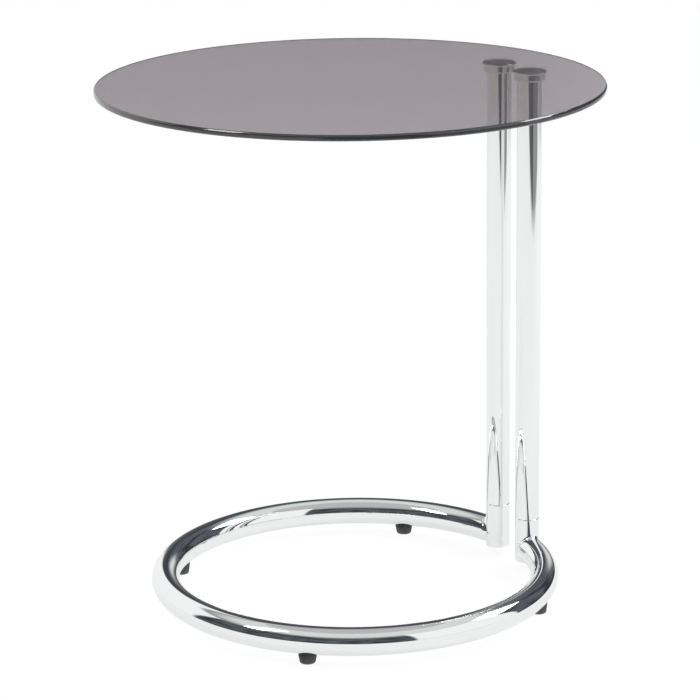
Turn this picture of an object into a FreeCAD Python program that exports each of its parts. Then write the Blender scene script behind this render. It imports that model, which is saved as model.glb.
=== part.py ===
import FreeCAD, Part
import math
import os

# Side table: a round smoked glass top on two posts that rise from an open ring of tube.
# Millimetres. The origin is on the floor under the middle of the glass.
# +Z is up and the posts stand on the +X side, so the left post is the one towards +Y.

# Whole table
table_height = 530.0
foot_height = 9.0

# Glass top
glass_diameter = 500.0
glass_thickness = 6.0
glass_arris = 0.7

# Base ring, measured on the middle of its tube
ring_radius = 193.0
ring_tube_diameter = 28.0
ring_wall = 1.5
cope_setback = 5.0
weld_gap = 0.05

# Posts and the stubs that they stand on
post_spacing = 56.0
post_diameter = 25.0
post_wall = 1.5
stub_length = 47.0
seam_chamfer = 0.4

# Discs that carry the glass
disc_diameter = 31.4
disc_thickness = 9.2
disc_lip_overhang = 1.45
disc_lip_thickness = 1.4
disc_chamfer = 0.8
disc_roof = 2.5
glue_thickness = 2.6
glue_setback = 0.4

# Plugs in the ends of the posts, and the plates in the stubs
plug_fit = 0.05
head_plug_length = 16.0
foot_plug_length = 16.0
spigot_length = 10.0
spigot_fit = 0.1
spigot_chamfer = 1.0
plate_gap = 0.5
plate_thickness = 4.0

# Threads and the holes for them
thread_diameter = 8.0
thread_fit = 0.1
bolt_hole_clearance = 0.5

# Set screws between discs and posts
stud_length = 20.0
stud_end_gap = 0.5
stud_chamfer = 0.8
stud_socket_width = 4.0
stud_socket_depth = 5.0

# Bolts and washers in the stubs
bolt_length = 25.0
bolt_head_diameter = 13.0
bolt_head_height = 8.0
bolt_head_chamfer = 0.6
bolt_socket_width = 6.0
bolt_socket_depth = 4.0
bolt_tip_chamfer = 1.0
spring_washer_diameter = 14.0
spring_washer_thickness = 2.0
spring_washer_split = 0.8
flat_washer_diameter = 16.0
flat_washer_thickness = 1.6
washer_hole_clearance = 0.3

# Rubber feet
foot_top_diameter = 19.2
foot_rim_width = 3.9
foot_tip_round = 1.7
foot_recess_depth = 4.2
foot_recess_clearance = 0.5
foot_seat_gap = 0.05

# Foot screws and washers
foot_screw_diameter = 3.9
foot_screw_length = 14.0
foot_screw_point = 3.0
foot_screw_head_diameter = 6.6
foot_screw_head_height = 2.4
foot_screw_dome = 1.0
foot_screw_slot_width = 0.9
foot_screw_slot_depth = 1.1
foot_screw_fit = 0.1
foot_washer_thickness = 0.8
foot_washer_clearance = 0.2

# How far cutting shapes run past what they cut
overrun = 1.0

# Each foot's place on the ring, in degrees from +X
foot_angles = {"rear_left": 44.0, "front_left": 130.0, "front_right": 226.0, "rear_right": 312.0}

# Levels and radii that several pieces share
glass_underside = table_height - glass_thickness
disc_top = glass_underside - glue_thickness
disc_underside = disc_top - disc_thickness
seam_level = foot_height + stub_length
plate_top = seam_level - spigot_length - plate_gap
plate_underside = plate_top - plate_thickness
flat_washer_underside = plate_underside - flat_washer_thickness
bolt_seat = flat_washer_underside - spring_washer_thickness
ring_tube_radius = ring_tube_diameter / 2
ring_level = foot_height + ring_tube_radius
post_radius = post_diameter / 2
post_bore_radius = post_radius - post_wall
thread_radius = thread_diameter / 2
tapped_radius = thread_radius + thread_fit
disc_lip_radius = disc_diameter / 2 + disc_lip_overhang
stud_hole_depth = disc_thickness - disc_roof
foot_recess_radius = foot_screw_head_diameter / 2 + foot_recess_clearance
foot_tip_radius = foot_recess_radius + foot_rim_width
foot_hole_radius = foot_screw_diameter / 2 + foot_screw_fit
post_x = math.sqrt(ring_radius ** 2 - (post_spacing / 2) ** 2)
post_places = {"left": (post_x, post_spacing / 2), "right": (post_x, -post_spacing / 2)}


def rod(radius, low, high, place=(0, 0)):
    """Upright solid cylinder between two levels."""
    return Part.makeCylinder(radius, high - low, FreeCAD.Vector(place[0], place[1], low))


def drilled(solid, radius, low, high, place=(0, 0)):
    """The solid with an upright hole between two levels."""
    return solid.cut(rod(radius, low, high, place))


def turned(outline, place=(0, 0)):
    """Solid of revolution from (radius, level) corners, stood at a place."""
    corners = [FreeCAD.Vector(radius, 0, level) for radius, level in outline]
    face = Part.Face(Part.makePolygon(corners + corners[:1]))
    solid = face.revolve(FreeCAD.Vector(0, 0, 0), FreeCAD.Vector(0, 0, 1), 360)
    solid.translate(FreeCAD.Vector(place[0], place[1], 0))
    return solid


def hexagon_prism(width, low, high, place):
    """Upright six-sided prism, given its width across the flats."""
    corner_radius = width / math.sqrt(3)
    corners = []
    for side in range(6):
        turn = math.radians(60 * side)
        x = place[0] + corner_radius * math.cos(turn)
        y = place[1] + corner_radius * math.sin(turn)
        corners.append(FreeCAD.Vector(x, y, low))
    face = Part.Face(Part.makePolygon(corners + corners[:1]))
    return face.extrude(FreeCAD.Vector(0, 0, high - low))


def on_ring(angle):
    """Point on the ring's centreline, seen from above."""
    turn = math.radians(angle)
    return (ring_radius * math.cos(turn), ring_radius * math.sin(turn))


def glass_top():
    """Flat disc with both rims bevelled."""
    radius = glass_diameter / 2
    return turned([
        (0, glass_underside),
        (radius - glass_arris, glass_underside),
        (radius, glass_underside + glass_arris),
        (radius, table_height - glass_arris),
        (radius - glass_arris, table_height),
        (0, table_height),
    ])


def glue_film(place):
    """Pad of clear adhesive, just inside the rim of the disc."""
    return rod(disc_lip_radius - glue_setback, disc_top, glass_underside, place)


def top_disc(place):
    """Turned disc with a thin lip under the glass and a blind threaded hole from below."""
    body_radius = disc_diameter / 2
    lip_underside = disc_top - disc_lip_thickness
    solid = turned([
        (0, disc_underside),
        (body_radius - disc_chamfer, disc_underside),
        (body_radius, disc_underside + disc_chamfer),
        (body_radius, lip_underside - disc_lip_overhang / 4),
        (disc_lip_radius, lip_underside),
        (disc_lip_radius, disc_top),
        (0, disc_top),
    ], place)
    return drilled(solid, tapped_radius, disc_underside - overrun, disc_underside + stud_hole_depth, place)


def top_stud(place):
    """Set screw from the disc down into the plug, with a hexagon socket in its lower end."""
    high = disc_underside + stud_hole_depth - stud_end_gap
    low = high - stud_length
    solid = turned([
        (0, low),
        (thread_radius - stud_chamfer, low),
        (thread_radius, low + stud_chamfer),
        (thread_radius, high - stud_chamfer),
        (thread_radius - stud_chamfer, high),
        (0, high),
    ], place)
    socket_top = low + stud_socket_depth
    return solid.cut(hexagon_prism(stud_socket_width, low - overrun, socket_top, place))


def post(place):
    """Upright tube from the seam to the disc, bevelled at the seam."""
    return turned([
        (post_bore_radius, seam_level),
        (post_radius - seam_chamfer, seam_level),
        (post_radius, seam_level + seam_chamfer),
        (post_radius, disc_underside),
        (post_bore_radius, disc_underside),
    ], place)


def post_head_plug(place):
    """Threaded plug flush with the top of the post."""
    low = disc_underside - head_plug_length
    solid = rod(post_bore_radius - plug_fit, low, disc_underside, place)
    return drilled(solid, tapped_radius, low - overrun, disc_underside + overrun, place)


def post_foot_plug(place):
    """Threaded plug in the foot of the post, with a spigot that enters the stub."""
    high = seam_level + foot_plug_length
    low = seam_level - spigot_length
    plug_radius = post_bore_radius - plug_fit
    spigot_radius = post_bore_radius - spigot_fit
    return turned([
        (tapped_radius, low),
        (spigot_radius - spigot_chamfer, low),
        (spigot_radius, low + spigot_chamfer),
        (spigot_radius, seam_level),
        (plug_radius, seam_level),
        (plug_radius, high),
        (tapped_radius, high),
    ], place)


def stub(place):
    """Lower leg: a short tube from the underside of the ring to the seam."""
    return turned([
        (post_bore_radius, foot_height),
        (post_radius, foot_height),
        (post_radius, seam_level - seam_chamfer),
        (post_radius - seam_chamfer, seam_level),
        (post_bore_radius, seam_level),
    ], place)


def stub_plate(place):
    """Pierced plate across the stub, under the spigot."""
    solid = rod(post_bore_radius - plug_fit, plate_underside, plate_top, place)
    hole_radius = thread_radius + bolt_hole_clearance
    return drilled(solid, hole_radius, plate_underside - overrun, plate_top + overrun, place)


def base_bolt(place):
    """Socket head screw that draws the post down on the stub."""
    head_radius = bolt_head_diameter / 2
    head_low = bolt_seat - bolt_head_height
    tip = bolt_seat + bolt_length
    solid = turned([
        (0, head_low),
        (head_radius - bolt_head_chamfer, head_low),
        (head_radius, head_low + bolt_head_chamfer),
        (head_radius, bolt_seat),
        (thread_radius, bolt_seat),
        (thread_radius, tip - bolt_tip_chamfer),
        (thread_radius - bolt_tip_chamfer, tip),
        (0, tip),
    ], place)
    socket_top = head_low + bolt_socket_depth
    return solid.cut(hexagon_prism(bolt_socket_width, head_low - overrun, socket_top, place))


def spring_washer(place):
    """Split washer on the bolt's head."""
    radius = spring_washer_diameter / 2
    solid = rod(radius, bolt_seat, flat_washer_underside, place)
    low = bolt_seat - overrun
    high = flat_washer_underside + overrun
    solid = drilled(solid, thread_radius + washer_hole_clearance, low, high, place)
    corner = FreeCAD.Vector(place[0], place[1] - spring_washer_split / 2, low)
    return solid.cut(Part.makeBox(radius + overrun, spring_washer_split, high - low, corner))


def flat_washer(place):
    """Plain washer under the plate."""
    solid = rod(flat_washer_diameter / 2, flat_washer_underside, plate_underside, place)
    low = flat_washer_underside - overrun
    return drilled(solid, thread_radius + washer_hole_clearance, low, plate_underside + overrun, place)


def ring_arc(tube_radius, start_angle, sweep_angle):
    """Solid bar bent along the ring's centreline."""
    centre = FreeCAD.Vector(ring_radius, 0, ring_level)
    circle = Part.Circle(centre, FreeCAD.Vector(0, 1, 0), tube_radius)
    face = Part.Face(Part.Wire(circle.toShape()))
    axis_point = FreeCAD.Vector(0, 0, 0)
    axis = FreeCAD.Vector(0, 0, 1)
    face.rotate(axis_point, axis, start_angle)
    return face.revolve(axis_point, axis, sweep_angle)


def base_ring():
    """Open ring of tube, coped round the stubs and pierced for the foot screws."""
    post_angle = math.degrees(math.asin(post_spacing / 2 / ring_radius))
    start_angle = post_angle + math.degrees(math.asin(cope_setback / ring_radius))
    sweep_angle = 360 - 2 * start_angle
    past_end = math.degrees(math.asin(overrun / ring_radius))
    solid = ring_arc(ring_tube_radius, start_angle, sweep_angle)
    bore = ring_arc(ring_tube_radius - ring_wall, start_angle - past_end, sweep_angle + 2 * past_end)
    solid = solid.cut(bore)
    for place in post_places.values():
        low = foot_height - overrun
        solid = drilled(solid, post_radius + weld_gap, low, low + ring_tube_diameter + 2 * overrun, place)
    for angle in foot_angles.values():
        solid = drilled(solid, foot_hole_radius, foot_height - overrun, ring_level, on_ring(angle))
    return solid


def foot(place):
    """Tapered rubber foot with a saddle for the ring's tube and a recess for its screw."""
    top_radius = foot_top_diameter / 2
    seat_radius = ring_tube_radius + foot_seat_gap
    saddle_level = ring_level - math.sqrt(seat_radius ** 2 - top_radius ** 2)
    solid = turned([
        (foot_hole_radius, foot_recess_depth),
        (foot_recess_radius, foot_recess_depth),
        (foot_recess_radius, 0),
        (foot_tip_radius, 0),
        (top_radius, saddle_level),
        (foot_hole_radius, saddle_level),
    ], place)
    solid = solid.makeFillet(foot_tip_round, [edge for edge in solid.Edges if is_foot_rim(edge)])
    return solid.cut(ring_arc(seat_radius, 0, 360))


def is_foot_rim(edge):
    """True for the outer round edge of a foot on the floor."""
    if not isinstance(edge.Curve, Part.Circle):
        return False
    on_floor = edge.Curve.Center.z < foot_recess_depth / 2
    return on_floor and edge.Curve.Radius > foot_tip_radius - foot_rim_width / 2


def foot_washer(place):
    """Washer against the floor of the foot's recess."""
    low = foot_recess_depth - foot_washer_thickness
    solid = rod(foot_recess_radius - foot_washer_clearance, low, foot_recess_depth, place)
    return drilled(solid, foot_hole_radius, low - overrun, foot_recess_depth + overrun, place)


def foot_screw(place):
    """Slotted pan head screw, up through the foot into the ring's tube."""
    seat = foot_recess_depth - foot_washer_thickness
    head_low = seat - foot_screw_head_height
    tip = seat + foot_screw_length
    radius = foot_screw_diameter / 2
    head_radius = foot_screw_head_diameter / 2
    solid = turned([
        (0, head_low),
        (head_radius - foot_screw_dome, head_low),
        (head_radius, head_low + foot_screw_dome),
        (head_radius, seat),
        (radius, seat),
        (radius, tip - foot_screw_point),
        (0, tip),
    ], place)
    slot_x = place[0] - head_radius - overrun
    slot_y = place[1] - foot_screw_slot_width / 2
    slot_length = foot_screw_head_diameter + 2 * overrun
    slot_height = foot_screw_slot_depth + overrun
    corner = FreeCAD.Vector(slot_x, slot_y, head_low - overrun)
    return solid.cut(Part.makeBox(slot_length, foot_screw_slot_width, slot_height, corner))


# One maker for each piece that stands on the left and on the right
post_makers = {
    "glue_film": glue_film,
    "top_disc": top_disc,
    "top_stud": top_stud,
    "post": post,
    "post_head_plug": post_head_plug,
    "post_foot_plug": post_foot_plug,
    "stub": stub,
    "stub_plate": stub_plate,
    "base_bolt": base_bolt,
    "spring_washer": spring_washer,
    "flat_washer": flat_washer,
}

# One maker for each piece of a foot
foot_makers = {"foot": foot, "foot_screw": foot_screw, "foot_washer": foot_washer}

pieces = {"glass_top": glass_top(), "base_ring": base_ring()}
for side, place in post_places.items():
    for name, maker in post_makers.items():
        pieces[side + "_" + name] = maker(place)
for corner, angle in foot_angles.items():
    for name, maker in foot_makers.items():
        pieces[corner + "_" + name] = maker(on_ring(angle))

os.makedirs("parts", exist_ok=True)
for name, shape in pieces.items():
    shape.exportStep("parts/" + name + ".step")
    print(name, "solids", len(shape.Solids), "valid", shape.isValid(), "volume", round(shape.Volume, 1))
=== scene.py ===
import math

import bpy
from mathutils import Matrix, Vector


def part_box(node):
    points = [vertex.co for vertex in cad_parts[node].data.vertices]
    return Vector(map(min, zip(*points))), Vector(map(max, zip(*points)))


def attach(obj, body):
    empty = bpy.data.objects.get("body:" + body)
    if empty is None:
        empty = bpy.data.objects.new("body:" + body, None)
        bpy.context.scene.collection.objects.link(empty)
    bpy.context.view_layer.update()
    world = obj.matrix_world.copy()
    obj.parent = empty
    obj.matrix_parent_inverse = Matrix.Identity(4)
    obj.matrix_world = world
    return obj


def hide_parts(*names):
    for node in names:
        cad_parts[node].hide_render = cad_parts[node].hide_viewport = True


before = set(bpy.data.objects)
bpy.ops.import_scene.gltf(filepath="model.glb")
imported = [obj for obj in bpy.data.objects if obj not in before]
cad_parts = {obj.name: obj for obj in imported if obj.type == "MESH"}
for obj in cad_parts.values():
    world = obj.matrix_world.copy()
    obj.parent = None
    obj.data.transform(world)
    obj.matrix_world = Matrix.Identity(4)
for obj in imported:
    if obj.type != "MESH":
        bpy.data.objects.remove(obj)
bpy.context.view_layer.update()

bl_info = {
    "name": "Glass Side Table",
    "version": (1, 0, 0),
    "blender": (4, 5, 0),
    "location": "3D View > Sidebar > Side Table",
    "description": "Dresses a round glass side table on a chromed tube base",
    "category": "Object",
}

SIDES = ("left", "right")
CORNERS = ("rear_left", "front_left", "front_right", "rear_right")
BODY = "root"
WHITE = (1, 1, 1, 1)
GLASS_IOR = 1.5

# Fineness of the polishing lines: per metre across and along a tube, per radian round the ring

POLISH_ACROSS = 900
POLISH_ALONG = 12
POLISH_ROUND = 2.4

# Points round each circle of the meshes

GLASS_POINTS = 720
TUBE_POINTS = 192
DISC_POINTS = 160
FILM_POINTS = 96
FOOT_POINTS = 72
SECTION_POINTS = 96

# Steps along the ring and its welds, and round each eased corner

RING_STEPS = 640
BORE_STEPS = 160
WELD_STEPS = 10
CORNER_STEPS = 6

# Panels of the studio: middle and half size as (azimuth, elevation), and soft edge, in degrees

CURTAIN = {"centre": (60, 9), "half": (28, 7), "blur": 6}
BACK_SCREEN = {"centre": (46, 12), "half": (7, 6), "blur": 9}
LEFT_SCREEN = {"centre": (107, 16), "half": (34, 27), "blur": 5}
RIGHT_SCREEN = {"centre": (-54, 20), "half": (33, 31), "blur": 3}
CEILING_START = 38
CEILING_FULL = 56

# Softboxes: place in degrees and metres, and size in metres

KEY_SOFTBOX = {"azimuth": -8, "elevation": 38, "distance": 2.6, "size": (1.4, 0.7)}
FILL_SOFTBOX = {"azimuth": 170, "elevation": 47, "distance": 2.6, "size": (0.55, 1.0)}


# Measures read from the frame

BOXES = {node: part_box(node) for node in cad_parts}


def middle(node):
    """Middle of a CAD node's box."""
    low, high = BOXES[node]
    return (low + high) / 2


def width(node):
    """Size of a CAD node along X."""
    low, high = BOXES[node]
    return high.x - low.x


def underside(node):
    """Lowest level of a CAD node."""
    return BOXES[node][0].z


def topside(node):
    """Highest level of a CAD node."""
    return BOXES[node][1].z


def across(node):
    """The place of a CAD node, seen from above."""
    centre = middle(node)
    return Vector((centre.x, centre.y, 0))


def length_setting(label, words, default):
    """A length that a user can change."""
    return bpy.props.FloatProperty(
        name=label, description=words, default=default, precision=5, subtype="DISTANCE", unit="LENGTH")


def angle_setting(label, words, degrees):
    """An angle that a user can change."""
    return bpy.props.FloatProperty(
        name=label, description=words, default=math.radians(degrees), precision=4,
        subtype="ANGLE", unit="ROTATION")


def level_setting(label, words, default):
    """A plain number that a user can change."""
    return bpy.props.FloatProperty(name=label, description=words, default=default, precision=4)


def share_setting(label, words, default):
    """A number from 0 to 1 that a user can change."""
    return bpy.props.FloatProperty(
        name=label, description=words, default=default, min=0, max=1, precision=4, subtype="FACTOR")


def colour_setting(label, words, default):
    """A colour that a user can change."""
    return bpy.props.FloatVectorProperty(
        name=label, description=words, default=default, size=3, min=0, max=1, subtype="COLOR")


def power_setting(label, words, default):
    """A lamp's power that a user can change."""
    return bpy.props.FloatProperty(name=label, description=words, default=default, unit="POWER")


class SideTableSizes(bpy.types.PropertyGroup):
    """Sizes of the shown pieces; those of the solids come from the frame"""

    glass_diameter: length_setting("Glass diameter", "Across the round top", width("glass_top"))
    glass_shoulder: length_setting("Glass shoulder", "Height of the polished bevel at the upper rim", 0.0018)
    glass_shoulder_in: length_setting("Glass shoulder inset", "How far that bevel reaches inwards", 0.00135)
    glass_hem: length_setting("Glass hem", "Height and inset of the bevel at the lower rim", 0.0013)
    glass_round: length_setting("Glass rounding", "Rounding beside the bevels of the edge", 0.0006)
    ring_radius: length_setting("Ring radius", "Middle of the ring's tube", across("left_post").length)
    ring_tube: length_setting(
        "Ring tube", "Diameter of the ring's tube", topside("base_ring") - underside("base_ring"))
    tube_wall: length_setting("Tube wall", "Thickness of every tube's wall", 0.0015)
    post_diameter: length_setting("Post diameter", "Diameter of posts and stubs", width("left_post"))
    seam_chamfer: length_setting("Seam chamfer", "Bevel on both sides of the seam above a stub", 0.0004)
    weld_reach: length_setting("Weld reach", "How far the weld spreads along the ring's tube", 0.0042)
    weld_climb: length_setting("Weld climb", "How far the weld climbs up the stub", 0.0038)
    weld_sink: length_setting("Weld sink", "How far the ring's end reaches into the stub's wall", 0.00005)
    disc_lip: length_setting("Disc lip", "Thickness of the lip under the glass", 0.0014)
    disc_overhang: length_setting("Disc overhang", "How far the lip stands out", 0.00145)
    disc_chamfer: length_setting("Disc chamfer", "Bevel under the disc", 0.0008)
    disc_round: length_setting("Disc rounding", "Rounding of the disc's edges", 0.0005)
    film_clearance: length_setting("Film clearance", "Room above and below the adhesive film", 0.00002)
    foot_recess: length_setting("Foot recess", "Radius of the recess for the foot's screw", 0.0038)
    foot_recess_depth: length_setting("Foot recess depth", "Depth of that recess", 0.0042)
    foot_rim: length_setting("Foot rim", "Width of the foot's tip outside the recess", 0.0039)
    foot_hole: length_setting("Foot hole", "Radius of the hole for the foot's screw", 0.00205)
    foot_round: length_setting("Foot rounding", "Rounding of the foot's tip", 0.0017)
    edge_round: length_setting("Edge rounding", "Rounding of small edges", 0.0002)


class SideTableFinishes(bpy.types.PropertyGroup):
    """Colours and polish of the materials"""

    glass_tint: colour_setting("Glass tint", "Colour of the smoked glass", (0.57, 0.485, 0.545))
    glass_density: level_setting("Glass density", "How fast the glass darkens with depth, per metre", 128.0)
    edge_tint: colour_setting("Edge tint", "Colour of the ground edge of the glass", (0.075, 0.076, 0.085))
    edge_share: share_setting("Edge share", "How much of the glass's edge is ground matt", 0.7)
    chrome_tint: colour_setting("Chrome tint", "Colour of the bright plating", (0.915, 0.92, 0.92))
    chrome_polish: share_setting("Chrome roughness", "Roughness of the bright plating", 0.02)
    turned_tint: colour_setting("Turned chrome tint", "Colour of the turned discs", (0.84, 0.84, 0.83))
    zinc_tint: colour_setting("Zinc tint", "Colour of the zinc plated screws", (0.58, 0.59, 0.61))
    rubber_tint: colour_setting("Rubber tint", "Colour of the feet", (0.07, 0.07, 0.072))
    adhesive_tint: colour_setting("Adhesive tint", "Colour of the cured adhesive", (0.85, 0.85, 0.80))


class SideTableStage(bpy.types.PropertyGroup):
    """Camera, floor and light"""

    camera_distance: length_setting("Camera distance", "From the table's axis, along the floor", 2.89828)
    camera_height: length_setting("Camera height", "Above the floor", 1.08592)
    camera_azimuth: angle_setting("Camera azimuth", "Round the table, from the -Y side towards +X", -30.017)
    camera_swing: angle_setting("Camera swing", "Turn to the right, away from the table's axis", -0.0573)
    camera_tilt: angle_setting("Camera tilt", "Below the horizon", 15.928)
    camera_roll: angle_setting("Camera roll", "About the line of sight", -0.613)
    camera_lens: bpy.props.FloatProperty(
        name="Lens", description="Focal length", default=155.064, subtype="DISTANCE_CAMERA", unit="CAMERA")
    floor_reach: length_setting("Floor reach", "From the axis to the edge of the floor", 6.0)
    floor_drop: length_setting("Floor drop", "How far the floor lies under the feet", 0.0002)
    # As chrome mirrors it, the paper's front darkens as painted shade, on one side of a line through the
    # right post
    paper_front: length_setting("Paper front", "Where the white paper starts to fade, towards -Y", 1.5)
    paper_fade: length_setting("Paper fade", "Where the white paper has faded out, towards -Y", 1.82)
    paper_end: length_setting("Paper end", "Where the floor is as dark as the studio, towards -Y", 2.6)
    paper_skew: angle_setting("Paper skew", "Turn of the paper's front edge", 11.0)
    paper_side: angle_setting(
        "Paper side", "Where the gap ahead of the paper ends, from +X at the right post", -44.0)
    paper_side_blur: length_setting("Paper side blur", "Softness of that side", 0.2)
    shadow_share: share_setting("Shadow share", "How much of the floor's shade the camera sees", 0.15)
    mirror_share: share_setting("Mirrored shade share", "How much of the floor's shade chrome mirrors", 0.4)
    floor_tint: colour_setting("Floor tint", "Colour of the white paper", (0.96, 0.96, 0.96))
    far_tint: colour_setting(
        "Far floor tint", "The floor beyond the paper, as chrome mirrors it", (0.12, 0.12, 0.12))
    aside_tint: colour_setting("Aside floor tint", "That floor towards +X, which is lit", (0.30, 0.30, 0.30))
    aside_start: length_setting("Aside start", "Where the far floor starts to be lit, towards +X", 0.15)
    aside_full: length_setting("Aside full", "Where the far floor is fully lit, towards +X", 0.45)
    warm_tint: colour_setting(
        "Warm paper tint", "The far paper towards -X, as chrome mirrors it", (0.90, 0.92, 0.64))
    warm_start: length_setting("Warm start", "Where the far paper starts to be warm, towards -X", 1.9)
    warm_full: length_setting("Warm full", "Where the far paper is fully warm, towards -X", 2.3)
    dim_tint: colour_setting(
        "Dim paper tint", "The far paper towards +X, as chrome mirrors it", (0.60, 0.60, 0.57))
    dim_start: length_setting("Dim start", "Where the far paper starts to be dim, towards +X", 2.1)
    dim_full: length_setting("Dim full", "Where the far paper is fully dim, towards +X", 2.5)
    dark_tint: colour_setting("Dark tint", "The dark parts of the studio", (0.065, 0.070, 0.080))
    ceiling_tint: colour_setting("Ceiling tint", "The pale ceiling of the studio", (0.70, 0.73, 0.71))
    wall_tint: colour_setting("Wall tint", "The white screens at both sides", (0.95, 0.95, 0.95))
    back_tint: colour_setting("Back tint", "The small screen behind the table", (0.70, 0.70, 0.70))
    curtain_tint: colour_setting("Curtain tint", "The low grey curtain behind the table", (0.14, 0.14, 0.14))
    key_power: power_setting("Key power", "Softbox on the right", 22.0)
    fill_power: power_setting("Fill power", "Softbox on the left", 12.0)


# Shader trees


class Wire:
    """One output of a shader node; arithmetic on wires adds Math nodes to the same tree"""

    def __init__(self, sheet, socket):
        self.sheet = sheet
        self.socket = socket

    def sum_up(self, operation, first, second):
        """A Math node over two values or wires."""
        return self.sheet.add("ShaderNodeMath", {"operation": operation}, {0: first, 1: second})

    def __add__(self, other):
        return self.sum_up("ADD", self, other)

    __radd__ = __add__

    def __sub__(self, other):
        return self.sum_up("SUBTRACT", self, other)

    def __rsub__(self, other):
        return self.sum_up("SUBTRACT", other, self)

    def __mul__(self, other):
        return self.sum_up("MULTIPLY", self, other)

    __rmul__ = __mul__

    def __pow__(self, other):
        return self.sum_up("POWER", self, other)

    def __lt__(self, other):
        return self.sum_up("LESS_THAN", self, other)

    def __abs__(self):
        return self.sum_up("ABSOLUTE", self, 0)


class Sheet:
    """The node tree of a material or of the world"""

    def __init__(self, owner):
        owner.use_nodes = True
        self.tree = owner.node_tree
        self.tree.nodes.clear()

    def add(self, kind, settings=None, sockets=None, out=0):
        """Adds one node: its settings first, then values or wires on its sockets."""
        node = self.tree.nodes.new(kind)
        for name, value in (settings or {}).items():
            setattr(node, name, value)
        for key, value in (sockets or {}).items():
            if isinstance(value, Wire):
                self.tree.links.new(value.socket, node.inputs[key])
            else:
                node.inputs[key].default_value = value
        return Wire(self, node.outputs[out]) if len(node.outputs) else None

    def position(self):
        """Place on the surface, as x, y and z wires in the piece's own axes."""
        node = self.add("ShaderNodeTexCoord", out="Object")
        return [self.add("ShaderNodeSeparateXYZ", sockets={0: node}, out=axis) for axis in range(3)]

    def vector(self, x, y, z):
        """Three values or wires as one vector."""
        return self.add("ShaderNodeCombineXYZ", sockets={0: x, 1: y, 2: z})

    def noise(self, vector, scale, detail=3.0):
        """Soft noise from 0 to 1."""
        sockets = {"Vector": vector, "Scale": scale, "Detail": detail, "Roughness": 0.55}
        return self.add("ShaderNodeTexNoise", sockets=sockets)

    def ease(self, value, start, stop):
        """0 at start, 1 at stop, smooth between."""
        sockets = {"Value": value, "From Min": start, "From Max": stop}
        return self.add("ShaderNodeMapRange", {"interpolation_type": "SMOOTHSTEP"}, sockets)

    def blend(self, share, first, second):
        """Colour mix, from first at share 0 to second at share 1."""
        return self.add("ShaderNodeMix", {"data_type": "RGBA"}, {0: share, 6: first, 7: second}, out=2)

    def mottle(self, share, tint, low, high):
        """A colour setting whose brightness varies from low at share 0 to high at share 1."""
        return self.blend(share, shifted(tint, low), shifted(tint, high))

    def bump(self, height, strength, distance):
        """Normal of a height field."""
        sockets = {"Height": height, "Strength": strength, "Distance": distance}
        return self.add("ShaderNodeBump", sockets=sockets)


def solid_colour(tint):
    """A colour setting with full alpha."""
    return (*tint, 1)


def shifted(tint, factor):
    """A colour setting made lighter or darker."""
    return (*(min(1, channel * factor) for channel in tint), 1)


def from_axis(x, y):
    """Distance from a piece's upright axis."""
    return (x * x + y * y) ** 0.5


def finish_surface(sheet, sockets):
    """Closes a material's tree with a principled surface."""
    surface = sheet.add("ShaderNodeBsdfPrincipled", sockets=sockets)
    sheet.add("ShaderNodeOutputMaterial", sockets={"Surface": surface})


def new_material(name):
    """A material and its empty tree."""
    material = bpy.data.materials.new(name)
    return material, Sheet(material)


def smoked_glass(sizes, finishes):
    """Grey-mauve float glass: clear faces, a satin ground edge, and smoke that deepens with depth."""
    haze_blur = 0.006
    edge_blur = 0.06
    ground_blur = 0.08
    material, sheet = new_material("smoked_glass")
    x, y, z = sheet.position()
    place = sheet.vector(x, y, z)
    bevel = sizes.glass_diameter / 2 - sizes.glass_shoulder_in
    edge = sheet.ease(from_axis(x, y), bevel - sizes.glass_round, bevel)
    haze = sheet.noise(place, scale=14.0)
    clear = sheet.add("ShaderNodeBsdfPrincipled", sockets={
        "Base Color": WHITE, "Roughness": haze * haze_blur + edge * edge_blur,
        "IOR": GLASS_IOR, "Transmission Weight": 1.0})
    grain = sheet.noise(place, scale=900.0)
    ground = sheet.add("ShaderNodeBsdfPrincipled", sockets={
        "Base Color": sheet.mottle(grain, finishes.edge_tint, low=0.9, high=1.1),
        "Roughness": ground_blur, "IOR": GLASS_IOR, "Coat Weight": 1.0})
    surface = sheet.add("ShaderNodeMixShader", sockets={0: edge * finishes.edge_share, 1: clear, 2: ground})
    smoke = sheet.add("ShaderNodeVolumeAbsorption", sockets={
        "Color": solid_colour(finishes.glass_tint), "Density": finishes.glass_density})
    sheet.add("ShaderNodeOutputMaterial", sockets={"Surface": surface, "Volume": smoke})
    return material


def chrome_plate(name, finishes, along):
    """Bright plating with faint polishing lines that run along the tube, and a slight unevenness."""
    line_blur = 0.014
    cloud_blur = 0.01
    material, sheet = new_material(name)
    lines = sheet.noise(along(sheet), scale=1.0)
    x, y, z = sheet.position()
    clouds = sheet.noise(sheet.vector(x, y, z), scale=35.0)
    finish_surface(sheet, {
        "Base Color": sheet.mottle(clouds, finishes.chrome_tint, low=0.985, high=1.01),
        "Metallic": 1.0, "Roughness": finishes.chrome_polish + lines * line_blur + clouds * cloud_blur,
        "Normal": sheet.bump(clouds, strength=0.012, distance=0.002)})
    return material


def along_upright(sheet):
    """Place stretched along an upright tube."""
    x, y, z = sheet.position()
    return sheet.vector(x * POLISH_ACROSS, y * POLISH_ACROSS, z * POLISH_ALONG)


def along_ring(sheet):
    """Place stretched along the ring's tube."""
    x, y, z = sheet.position()
    turn = sheet.add("ShaderNodeMath", {"operation": "ARCTAN2"}, {0: y, 1: x})
    return sheet.vector(from_axis(x, y) * POLISH_ACROSS, z * POLISH_ACROSS, turn * POLISH_ROUND)


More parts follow.
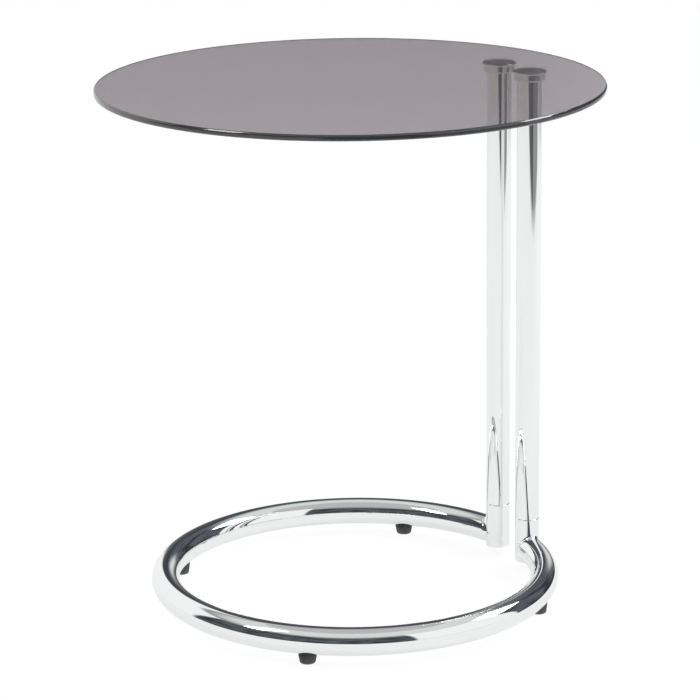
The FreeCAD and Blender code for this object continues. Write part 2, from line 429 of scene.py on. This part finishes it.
def turned_chrome(finishes):
    """Plating over a lathe-turned face: fine rings, so the shine spreads across them; the top face's colour
    is darkened as painted shade.
    """
    ring_fineness = 2600
    side_blur = 0.05
    ring_blur = 0.05
    face_blur = 0.34
    # Painted shade: how much darker the top face's colour is than the sides'
    painted_face_shade = 0.7
    face_low, face_high = 0.0004, 0.0001
    rim_outer, rim_inner = 0.0005, 0.0007
    quarter_turn = 0.25
    material, sheet = new_material("turned_chrome")
    x, y, z = sheet.position()
    radius = from_axis(x, y)
    rings = sheet.noise(sheet.vector(radius * ring_fineness, 0, z * ring_fineness), scale=1.0, detail=2.0)
    level = topside("left_top_disc")
    lip = width("left_top_disc") / 2
    upper = sheet.ease(z, level - face_low, level - face_high)
    face = upper * sheet.ease(radius, lip - rim_outer, lip - rim_inner)
    shine = sheet.mottle(rings, finishes.turned_tint, low=0.95, high=1.05)
    # Painted shade: the top face gets the darkened tint, the sides the plain one
    finish_surface(sheet, {
        "Base Color": sheet.blend(face, shine, shifted(finishes.turned_tint, painted_face_shade)),
        "Metallic": 1.0, "Roughness": side_blur + rings * ring_blur + face * face_blur,
        "Anisotropic": 1.0, "Anisotropic Rotation": quarter_turn})
    return material


def zinc_plate(finishes):
    """Zinc on steel: pale, with a faint spangle and dull patches."""
    bright_blur = 0.26
    patch_blur = 0.12
    spangle_blur = 0.08
    material, sheet = new_material("zinc_plate")
    x, y, z = sheet.position()
    place = sheet.vector(x, y, z)
    spangle = sheet.add("ShaderNodeTexVoronoi", {"feature": "F1"}, {"Vector": place, "Scale": 700.0})
    patches = sheet.noise(place, scale=180.0)
    finish_surface(sheet, {
        "Base Color": sheet.mottle(patches, finishes.zinc_tint, low=0.86, high=1.10),
        "Metallic": 1.0, "Roughness": bright_blur + patches * patch_blur + spangle * spangle_blur,
        "Normal": sheet.bump(spangle, strength=0.05, distance=0.0003)})
    return material


def moulded_rubber(finishes):
    """Black rubber with a fine moulded grain, worn paler towards the tip."""
    worn_height = 0.0035
    wear_share, bloom_share = 0.6, 0.25
    paler = 2.6
    smooth_blur, bloom_blur = 0.52, 0.2
    material, sheet = new_material("moulded_rubber")
    x, y, z = sheet.position()
    place = sheet.vector(x, y, z)
    grain = sheet.noise(place, scale=2600.0, detail=2.0)
    bloom = sheet.noise(place, scale=240.0)
    wear = sheet.ease(z, worn_height, 0.0) * bloom
    faded = wear * wear_share + bloom * bloom_share
    finish_surface(sheet, {
        "Base Color": sheet.mottle(faded, finishes.rubber_tint, low=1, high=paler),
        "Roughness": smooth_blur + bloom * bloom_blur,
        "Normal": sheet.bump(grain, strength=0.15, distance=0.0002)})
    return material


def cured_adhesive(finishes):
    """Clear adhesive, nearly unseen, with a faint cloudiness."""
    clear_blur, cloud_blur = 0.2, 0.2
    clear_alpha, cloud_alpha = 0.015, 0.05
    material, sheet = new_material("cured_adhesive")
    x, y, z = sheet.position()
    cloud = sheet.noise(sheet.vector(x, y, z), scale=420.0)
    finish_surface(sheet, {
        "Base Color": solid_colour(finishes.adhesive_tint), "Roughness": clear_blur + cloud * cloud_blur,
        "Alpha": clear_alpha + cloud * cloud_alpha})
    return material


# Meshes


def circle_points(radius, level, count):
    """Points of a level circle about the Z axis."""
    turns = [2 * math.pi * step / count for step in range(count)]
    return [Vector((radius * math.cos(turn), radius * math.sin(turn), level)) for turn in turns]


def skin(name, loops, closed):
    """Mesh over a row of loops with as many points each: closed on itself, or with both ends filled."""
    count = len(loops[0])
    points = [point for loop in loops for point in loop]
    faces = []
    for row in range(len(loops) if closed else len(loops) - 1):
        first = row * count
        second = (row + 1) % len(loops) * count
        for step in range(count):
            after = (step + 1) % count
            faces.append((first + step, first + after, second + after, second + step))
    if not closed:
        for row, order in ((0, -1), (len(loops) - 1, 1)):
            hub = len(points)
            points.append(sum(loops[row], Vector()) / count)
            for step in range(count):
                pair = (row * count + step, row * count + (step + 1) % count)
                faces.append((hub, *pair[::order]))
    mesh = bpy.data.meshes.new(name)
    mesh.from_pydata(points, [], faces)
    mesh.update()
    mesh.shade_smooth()
    return mesh


def eased(outline, rounding, closed):
    """An outline of (radius, level) corners with each corner rounded, and held flat beside the rounding."""
    longest_share = 0.42
    hold = 1.15
    eased_points = []
    for index, corner in enumerate(outline):
        here = Vector(corner)
        if not closed and index in (0, len(outline) - 1):
            eased_points.append(here)
            continue
        before = Vector(outline[index - 1]) - here
        after = Vector(outline[(index + 1) % len(outline)]) - here
        reach = min(rounding, before.length * longest_share, after.length * longest_share)
        start = here + before.normalized() * reach
        stop = here + after.normalized() * reach
        eased_points.append(here + before.normalized() * reach * hold)
        for step in range(CORNER_STEPS + 1):
            share = step / CORNER_STEPS
            eased_points.append(start.lerp(here, share).lerp(here.lerp(stop, share), share))
        eased_points.append(here + after.normalized() * reach * hold)
    return eased_points


def turned(name, outline, rounding, count, closed):
    """Lathe-turned mesh about the Z axis."""
    points = eased(outline, rounding, closed)
    return skin(name, [circle_points(point.x, point.y, count) for point in points], closed)


def add_piece(mesh, material, nodes, place=Vector()):
    """Puts a mesh into the scene as a piece that stands for CAD nodes."""
    mesh.materials.append(material)
    piece = bpy.data.objects.new(mesh.name, mesh)
    bpy.context.scene.collection.objects.link(piece)
    piece.location = place
    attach(piece, BODY)
    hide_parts(*nodes)


def glass_sheet_mesh(sizes):
    """Round sheet with bevelled rims."""
    radius = sizes.glass_diameter / 2
    low = underside("glass_top")
    high = topside("glass_top")
    inner = radius / 2
    outline = [
        (inner, low), (radius - sizes.glass_hem, low), (radius, low + sizes.glass_hem),
        (radius, high - sizes.glass_shoulder), (radius - sizes.glass_shoulder_in, high), (inner, high)]
    return turned("smoked_glass_sheet", outline, sizes.glass_round, GLASS_POINTS, closed=False)


def ring_point(sizes, tube_radius, section, turn):
    """Point on the ring's bent tube: section is the angle round the tube, turn the angle round the ring."""
    reach = sizes.ring_radius + tube_radius * math.cos(section)
    level = middle("base_ring").z + tube_radius * math.sin(section)
    return Vector((reach * math.cos(turn), reach * math.sin(turn), level))


def meeting_turn(sizes, tube_radius, section, stub_radius):
    """How far round the ring from a stub's axis a line along the tube comes within a radius of it."""
    reach = sizes.ring_radius + tube_radius * math.cos(section)
    cosine = (reach ** 2 + sizes.ring_radius ** 2 - stub_radius ** 2) / (2 * reach * sizes.ring_radius)
    return math.acos(min(1, cosine))


def weld_points(sizes, section, toe, steps):
    """Points of the weld, from its toe on the tube at the left stub to the stub's wall."""
    widest = math.radians(80)
    place = across("left_post")
    outward = place.normalized()
    onward = Vector((-outward.y, outward.x, 0))
    lean = math.asin(math.cos(section) * math.sin(widest))
    stub_radius = sizes.post_diameter / 2 - sizes.weld_sink
    corner = place + stub_radius * (math.cos(lean) * onward + math.sin(lean) * outward)
    corner.z = toe.z
    end = corner + Vector((0, 0, sizes.weld_climb * max(0, math.sin(section))))
    shares = [step / steps for step in range(1, steps + 1)]
    return [toe.lerp(corner, share).lerp(corner.lerp(end, share), share) for share in shares]


def chromed_ring_mesh(sizes):
    """Open ring of tube, with its bore, whose ends flow into the stubs with a weld."""
    sections = [2 * math.pi * step / SECTION_POINTS for step in range(SECTION_POINTS)]
    post_turn = math.atan2(across("left_post").y, across("left_post").x)
    tube_radius = sizes.ring_tube / 2
    bore_radius = tube_radius - sizes.tube_wall
    stub_radius = sizes.post_diameter / 2
    mirror = Matrix.Diagonal((1, -1, 1))

    def tube_loops(radius, stop_radius, count):
        loops = []
        for station in range(count + 1):
            loop = []
            for section in sections:
                start = post_turn + meeting_turn(sizes, radius, section, stop_radius)
                turn = start + (2 * math.pi - 2 * start) * station / count
                loop.append(ring_point(sizes, radius, section, turn))
            loops.append(loop)
        return loops

    outer = tube_loops(tube_radius, stub_radius + sizes.weld_reach, RING_STEPS)
    bore = tube_loops(bore_radius, stub_radius - sizes.weld_sink, BORE_STEPS)
    rows = zip(*[weld_points(sizes, section, toe, WELD_STEPS) for section, toe in zip(sections, outer[0])])
    weld = [list(row) for row in rows]
    far_weld = [[mirror @ point for point in loop] for loop in weld]
    loops = weld[::-1] + outer + far_weld + bore[::-1]
    return skin("chromed_ring", loops[::-1], closed=True)


def tube_outline(sizes, low, high, low_chamfer, high_chamfer):
    """Wall of an upright tube."""
    radius = sizes.post_diameter / 2
    bore = radius - sizes.tube_wall
    corners = [
        (bore, low), (radius - low_chamfer, low), (radius, low + low_chamfer),
        (radius, high - high_chamfer), (radius - high_chamfer, high), (bore, high)]
    return list(dict.fromkeys(corners))


def disc_outline(sizes, node):
    """Turned disc with a thin lip at the top."""
    low = underside(node)
    high = topside(node)
    lip_radius = width(node) / 2
    radius = lip_radius - sizes.disc_overhang
    inner = radius / 2
    lip_level = high - sizes.disc_lip
    lip_slope = sizes.disc_overhang / 4
    return [
        (inner, low), (radius - sizes.disc_chamfer, low), (radius, low + sizes.disc_chamfer),
        (radius, lip_level - lip_slope), (lip_radius, lip_level), (lip_radius, high), (inner, high)]


def rubber_foot_mesh(name, sizes, place):
    """Tapered foot with a recess for its screw and a saddle that follows the ring's tube."""
    saddle_shares = (0, 0.02, 0.3, 0.6, 1)
    tip = sizes.foot_recess + sizes.foot_rim
    top = width("rear_left_foot") / 2
    ring_level = middle("base_ring").z
    seat = sizes.ring_tube / 2

    def saddle(loop):
        for point in loop:
            offset = (place + point).xy.length - sizes.ring_radius
            point.z = ring_level - math.sqrt(seat ** 2 - offset ** 2)
        return loop

    outline = [
        (sizes.foot_hole, sizes.foot_recess_depth), (sizes.foot_recess, sizes.foot_recess_depth),
        (sizes.foot_recess, 0), (tip, 0), (top, ring_level - math.sqrt(seat ** 2 - top ** 2))]
    body = eased(outline, sizes.foot_round, closed=False)
    loops = [circle_points(point.x, point.y, FOOT_POINTS) for point in body[:-1]]
    for share in saddle_shares:
        loops.append(saddle(circle_points(top + (sizes.foot_hole - top) * share, 0, FOOT_POINTS)))
    return skin(name, loops, closed=True)


# Operators, one for each piece or group of like pieces


class SIDE_TABLE_OT_glass(bpy.types.Operator):
    """Adds the round smoked glass top"""

    bl_idname = "side_table.glass"
    bl_label = "Glass Top"

    def execute(self, context):
        sizes = context.scene.side_table_sizes
        material = smoked_glass(sizes, context.scene.side_table_finishes)
        add_piece(glass_sheet_mesh(sizes), material, ["glass_top"])
        return {"FINISHED"}


class SIDE_TABLE_OT_ring(bpy.types.Operator):
    """Adds the open ring of chromed tube with its welds"""

    bl_idname = "side_table.ring"
    bl_label = "Base Ring"

    def execute(self, context):
        sizes = context.scene.side_table_sizes
        material = chrome_plate("chrome_ring", context.scene.side_table_finishes, along_ring)
        add_piece(chromed_ring_mesh(sizes), material, ["base_ring"])
        return {"FINISHED"}


class SIDE_TABLE_OT_posts(bpy.types.Operator):
    """Adds both posts and the stubs that they stand on"""

    bl_idname = "side_table.posts"
    bl_label = "Posts and Stubs"

    def execute(self, context):
        sizes = context.scene.side_table_sizes
        material = chrome_plate("chrome_post", context.scene.side_table_finishes, along_upright)
        for side in SIDES:
            for kind, chamfers in (("post", (sizes.seam_chamfer, 0)), ("stub", (0, sizes.seam_chamfer))):
                node = side + "_" + kind
                outline = tube_outline(sizes, underside(node), topside(node), *chamfers)
                mesh = turned(side + "_chromed_" + kind, outline, sizes.edge_round, TUBE_POINTS, closed=True)
                add_piece(mesh, material, [node], across(node))
        return {"FINISHED"}


class SIDE_TABLE_OT_discs(bpy.types.Operator):
    """Adds the turned discs that carry the glass, and the adhesive on them"""

    bl_idname = "side_table.discs"
    bl_label = "Discs and Adhesive"

    def execute(self, context):
        sizes = context.scene.side_table_sizes
        metal = turned_chrome(context.scene.side_table_finishes)
        adhesive = cured_adhesive(context.scene.side_table_finishes)
        for side in SIDES:
            disc = side + "_top_disc"
            outline = disc_outline(sizes, disc)
            mesh = turned(side + "_turned_disc", outline, sizes.disc_round, DISC_POINTS, closed=False)
            add_piece(mesh, metal, [disc], across(disc))
            film = side + "_glue_film"
            low = underside(film) + sizes.film_clearance
            high = topside(film) - sizes.film_clearance
            radius = width(film) / 2
            outline = [(radius / 2, low), (radius, low), (radius, high), (radius / 2, high)]
            mesh = turned(side + "_adhesive_film", outline, sizes.film_clearance, FILM_POINTS, closed=False)
            add_piece(mesh, adhesive, [film], across(film))
        return {"FINISHED"}


class SIDE_TABLE_OT_feet(bpy.types.Operator):
    """Adds the rubber feet"""

    bl_idname = "side_table.feet"
    bl_label = "Rubber Feet"

    def execute(self, context):
        sizes = context.scene.side_table_sizes
        material = moulded_rubber(context.scene.side_table_finishes)
        for corner in CORNERS:
            node = corner + "_foot"
            place = across(node).normalized() * sizes.ring_radius
            mesh = rubber_foot_mesh(corner + "_rubber_foot", sizes, place)
            add_piece(mesh, material, [node], place)
        return {"FINISHED"}


class SIDE_TABLE_OT_fasteners(bpy.types.Operator):
    """Plates the screws, washers, plugs and plates that the frame holds"""

    bl_idname = "side_table.fasteners"
    bl_label = "Fasteners"

    def execute(self, context):
        material = zinc_plate(context.scene.side_table_finishes)
        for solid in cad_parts.values():
            if solid.hide_render:
                continue
            solid.data.materials.clear()
            solid.data.materials.append(material)
        return {"FINISHED"}


# Stage


def patch(sheet, azimuth, elevation, centre, half, blur):
    """Soft-edged panel of the studio: 1 inside, 0 outside; angles in degrees."""
    offset = azimuth - math.radians(centre[0])
    turn = abs(sheet.add("ShaderNodeMath", {"operation": "WRAP"}, {0: offset, 1: math.pi, 2: -math.pi}))
    rise = abs(elevation - math.radians(centre[1]))
    sides = [math.radians(size + blur / 2) for size in half]
    inner = [math.radians(size - blur / 2) for size in half]
    return sheet.ease(turn, sides[0], inner[0]) * sheet.ease(rise, sides[1], inner[1])


def seen_by_eye(sheet):
    """1 for what the camera sees straight, or through the glass alone."""
    camera = sheet.add("ShaderNodeLightPath", out="Is Camera Ray")
    through = sheet.add("ShaderNodeLightPath", out="Is Transmission Ray")
    mirrored = sheet.add("ShaderNodeLightPath", out="Glossy Depth")
    scattered = sheet.add("ShaderNodeLightPath", out="Diffuse Depth")
    return camera + through * (mirrored + scattered < 0.5)


def studio_world(stage):
    """White behind the table; round it a dark studio with a pale ceiling, a curtain and pale screens."""
    world = bpy.data.worlds.new("studio")
    sheet = Sheet(world)
    direction = sheet.add("ShaderNodeTexCoord", out="Generated")
    x, y, z = [sheet.add("ShaderNodeSeparateXYZ", sockets={0: direction}, out=axis) for axis in range(3)]
    azimuth = sheet.add("ShaderNodeMath", {"operation": "ARCTAN2"}, {0: y, 1: x})
    elevation = sheet.add("ShaderNodeMath", {"operation": "ARCSINE"}, {0: z})
    ceiling = sheet.ease(elevation, math.radians(CEILING_START), math.radians(CEILING_FULL))
    clutter = sheet.ease(sheet.noise(direction, scale=5.0), start=0.35, stop=0.65)
    gloom = sheet.mottle(clutter, stage.dark_tint, low=0.6, high=1.7)
    colour = sheet.blend(ceiling, gloom, solid_colour(stage.ceiling_tint))
    panels = (
        (CURTAIN, stage.curtain_tint), (BACK_SCREEN, stage.back_tint),
        (LEFT_SCREEN, stage.wall_tint), (RIGHT_SCREEN, stage.wall_tint))
    for panel, tint in panels:
        colour = sheet.blend(patch(sheet, azimuth, elevation, **panel), colour, solid_colour(tint))
    colour = sheet.blend(seen_by_eye(sheet), colour, WHITE)
    background = sheet.add("ShaderNodeBackground", sockets={"Color": colour, "Strength": 1.0})
    sheet.add("ShaderNodeOutputWorld", sockets={"Surface": background})
    return world


def white_paper(stage):
    """White paper that keeps the shadow; as mirrored, it has tinted far parts and fades out at the front,
    ahead of the right post, as painted shade.
    """
    mirrored_white = (0.98, 0.98, 0.98, 1)
    glow_strength = 1.07
    material, sheet = new_material("white_paper")
    x, y, _ = sheet.position()
    eye = seen_by_eye(sheet)
    ahead = x * math.tan(stage.paper_skew) - y
    post = across("right_post")
    aslant = (post.x - x) * math.sin(stage.paper_side) + (y - post.y) * math.cos(stage.paper_side)
    # Painted shade: as mirrored, the paper darkens towards the front only on this side of a line through the
    # right post
    shaded_side = sheet.ease(aslant, stage.paper_side_blur, 0.0)
    fade = sheet.ease(ahead, stage.paper_front, stage.paper_fade) * shaded_side * (1 - eye)
    shade = sheet.add("ShaderNodeBsdfDiffuse", sockets={"Color": solid_colour(stage.floor_tint)})
    warmth = sheet.ease(0 - x, stage.warm_start, stage.warm_full)
    bounced = sheet.blend(warmth, mirrored_white, solid_colour(stage.warm_tint))
    dimness = sheet.ease(x, stage.dim_start, stage.dim_full)
    bounced = sheet.blend(dimness, bounced, solid_colour(stage.dim_tint))
    white = sheet.blend(eye, bounced, WHITE)
    glow = sheet.add("ShaderNodeEmission", sockets={"Color": white, "Strength": glow_strength})
    share = stage.mirror_share + eye * (stage.shadow_share - stage.mirror_share)
    paper = sheet.add("ShaderNodeMixShader", sockets={0: share, 1: glow, 2: shade})
    beyond = sheet.ease(ahead, stage.paper_fade, stage.paper_end)
    aside = sheet.ease(x, stage.aside_start, stage.aside_full)
    far = sheet.blend(beyond, solid_colour(stage.far_tint), solid_colour(stage.dark_tint))
    tint = sheet.blend(aside, far, solid_colour(stage.aside_tint))
    dark = sheet.add("ShaderNodeEmission", sockets={"Color": tint, "Strength": 1.0})
    surface = sheet.add("ShaderNodeMixShader", sockets={0: fade, 1: paper, 2: dark})
    sheet.add("ShaderNodeOutputMaterial", sockets={"Surface": surface})
    return material


def add_floor(stage):
    """Level sheet of paper under the feet."""
    reach = stage.floor_reach
    level = -stage.floor_drop
    mesh = bpy.data.meshes.new("paper_floor")
    corners = [(-reach, -reach, level), (reach, -reach, level), (reach, reach, level), (-reach, reach, level)]
    mesh.from_pydata(corners, [], [(0, 1, 2, 3)])
    mesh.materials.append(white_paper(stage))
    floor = bpy.data.objects.new("paper_floor", mesh)
    bpy.context.scene.collection.objects.link(floor)


def add_softbox(name, power, azimuth, elevation, distance, size):
    """Rectangular lamp that faces the table; angles in degrees."""
    turn = math.radians(azimuth)
    rise = math.radians(elevation)
    away = Vector((math.cos(turn) * math.cos(rise), math.sin(turn) * math.cos(rise), math.sin(rise)))
    lamp = bpy.data.lights.new(name, "AREA")
    lamp.shape = "RECTANGLE"
    lamp.size, lamp.size_y = size
    lamp.energy = power
    holder = bpy.data.objects.new(name, lamp)
    bpy.context.scene.collection.objects.link(holder)
    holder.location = middle("glass_top") + away * distance
    holder.rotation_euler = (-away).to_track_quat("-Z", "Y").to_euler()
    holder.visible_camera = False


def add_camera(stage):
    """Camera at the photographed view."""
    heading = -stage.camera_azimuth + stage.camera_swing
    outward = Vector((math.sin(stage.camera_azimuth), -math.cos(stage.camera_azimuth), 0))
    ahead = Vector((math.sin(heading), math.cos(heading), 0))
    forward = ahead * math.cos(stage.camera_tilt) - Vector((0, 0, math.sin(stage.camera_tilt)))
    right = Vector((ahead.y, -ahead.x, 0))
    up = right.cross(forward)
    turned_right = right * math.cos(stage.camera_roll) + up * math.sin(stage.camera_roll)
    turned_up = up * math.cos(stage.camera_roll) - right * math.sin(stage.camera_roll)
    lens = bpy.data.cameras.new("photo_view")
    lens.sensor_fit = "HORIZONTAL"
    lens.lens = stage.camera_lens
    camera = bpy.data.objects.new("photo_view", lens)
    bpy.context.scene.collection.objects.link(camera)
    axes = Matrix((turned_right, turned_up, -forward)).transposed().to_4x4()
    place = outward * stage.camera_distance + Vector((0, 0, stage.camera_height))
    camera.matrix_world = Matrix.Translation(place) @ axes
    bpy.context.scene.camera = camera


class SIDE_TABLE_OT_stage(bpy.types.Operator):
    """Adds the floor, the studio's light and the camera"""

    bl_idname = "side_table.stage"
    bl_label = "Stage"

    def execute(self, context):
        stage = context.scene.side_table_stage
        context.scene.view_settings.view_transform = "Standard"
        context.scene.world = studio_world(stage)
        add_floor(stage)
        add_softbox("key_softbox", stage.key_power, **KEY_SOFTBOX)
        add_softbox("fill_softbox", stage.fill_power, **FILL_SOFTBOX)
        add_camera(stage)
        return {"FINISHED"}


class SIDE_TABLE_PT_panel(bpy.types.Panel):
    """Lists the table's operators and settings"""

    bl_idname = "SIDE_TABLE_PT_panel"
    bl_label = "Side Table"
    bl_space_type = "VIEW_3D"
    bl_region_type = "UI"
    bl_category = "Side Table"

    def draw(self, context):
        for operator in OPERATORS:
            self.layout.operator(operator.bl_idname)
        for settings in SETTINGS:
            group = getattr(context.scene, settings)
            for name in group.bl_rna.properties.keys():
                if name not in ("rna_type", "name"):
                    self.layout.prop(group, name)


SETTINGS = {
    "side_table_sizes": SideTableSizes,
    "side_table_finishes": SideTableFinishes,
    "side_table_stage": SideTableStage,
}
OPERATORS = (
    SIDE_TABLE_OT_glass,
    SIDE_TABLE_OT_ring,
    SIDE_TABLE_OT_posts,
    SIDE_TABLE_OT_discs,
    SIDE_TABLE_OT_feet,
    SIDE_TABLE_OT_fasteners,
    SIDE_TABLE_OT_stage,
)
CLASSES = (*SETTINGS.values(), *OPERATORS, SIDE_TABLE_PT_panel)


def register():
    """Registers the classes and the settings on the scene."""
    for cls in CLASSES:
        bpy.utils.register_class(cls)
    for name, group in SETTINGS.items():
        setattr(bpy.types.Scene, name, bpy.props.PointerProperty(type=group))


def unregister():
    """Takes the settings and the classes away again."""
    for name in SETTINGS:
        delattr(bpy.types.Scene, name)
    for cls in reversed(CLASSES):
        bpy.utils.unregister_class(cls)


def main():
    """Builds the table and its stage."""
    register()
    for operator in OPERATORS:
        group, name = operator.bl_idname.split(".")
        getattr(getattr(bpy.ops, group), name)()


if __name__ == "__main__":
    main()
